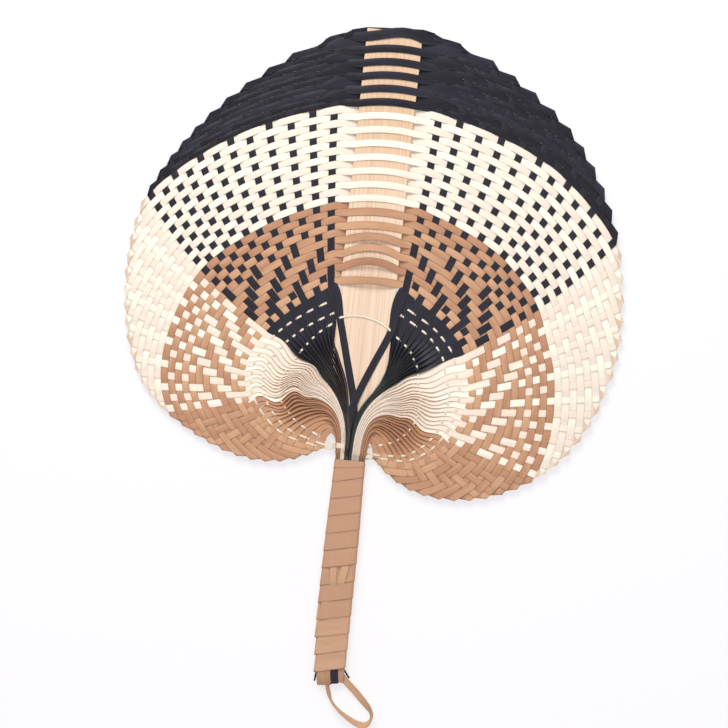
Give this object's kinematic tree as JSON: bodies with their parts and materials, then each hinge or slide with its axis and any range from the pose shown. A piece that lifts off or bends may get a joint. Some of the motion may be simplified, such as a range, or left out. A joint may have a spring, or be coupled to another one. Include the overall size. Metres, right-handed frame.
{
  "type": "palm leaf fan",
  "caption": "Flat heart-shaped hand fan woven from dyed and natural palm leaf strips round a bamboo slat, with a leaf-wrapped grip and a hanging loop.",
  "frame": {"origin": "middle of the grip's flat back face", "axes": "+Y along the grip towards the tip of the blade, +Z out of the front face, +X to the right seen from the front"},
  "size_m": [0.3041, 0.4262, 0.0064],
  "materials": {
    "black_leaf": "dyed leaf, satin",
    "natural_leaf": "undyed leaf, satin",
    "brown_leaf": "dyed leaf, satin",
    "bamboo": "planed bamboo, matt",
    "binding": "split leaf rib, matt",
    "wrap_leaf": "dyed leaf, satin",
    "loop_leaf": "dyed leaf, satin"
  },
  "bodies": {
    "fan": {"black_strip_01": "black_leaf", "black_strip_02": "black_leaf", "black_strip_03": "black_leaf", "black_strip_04": "black_leaf", "black_strip_05": "black_leaf", "black_strip_06": "black_leaf", "black_strip_07": "black_leaf", "black_strip_08": "black_leaf", "black_strip_09": "black_leaf", "black_strip_10": "black_leaf", "black_strip_11": "black_leaf", "black_strip_12": "black_leaf", "natural_strip_01": "natural_leaf", "natural_strip_02": "natural_leaf", "natural_strip_03": "natural_leaf", "natural_strip_04": "natural_leaf", "natural_strip_05": "natural_leaf", "natural_strip_06": "natural_leaf", "natural_strip_07": "natural_leaf", "natural_strip_08": "natural_leaf", "natural_strip_09": "natural_leaf", "natural_strip_10": "natural_leaf", "natural_strip_11": "natural_leaf", "natural_strip_12": "natural_leaf", "natural_strip_13": "natural_leaf", "natural_strip_14": "natural_leaf", "brown_strip_01": "brown_leaf", "brown_strip_02": "brown_leaf", "brown_strip_03": "brown_leaf", "brown_strip_04": "brown_leaf", "brown_strip_05": "brown_leaf", "brown_strip_06": "brown_leaf", "brown_strip_07": "brown_leaf", "brown_strip_08": "brown_leaf", "brown_strip_09": "brown_leaf", "brown_strip_10": "brown_leaf", "brown_strip_11": "brown_leaf", "brown_strip_12": "brown_leaf", "bamboo_slat": "bamboo", "binding_strand_1": "binding", "binding_strand_2": "binding", "binding_strand_3": "binding", "grip_wrap": "wrap_leaf", "wrap_end_tuck": "wrap_leaf", "loop_tail_left": "loop_leaf", "loop_tail_right": "loop_leaf", "grip_core_left": "wrap_leaf", "grip_core_right": "wrap_leaf", "black_end": "black_leaf", "tan_end": "wrap_leaf", "loop_root": "loop_leaf"},
    "loop": {"hanging_loop": "loop_leaf"}
  },
  "joints": [
    {"name": "loop_swing", "type": "hinge", "parent": "fan", "child": "loop", "pos_m": [0, -0.06928, 0.00299], "axis": [1, 0, 0], "range_deg": [-75, 75]}
  ]
}
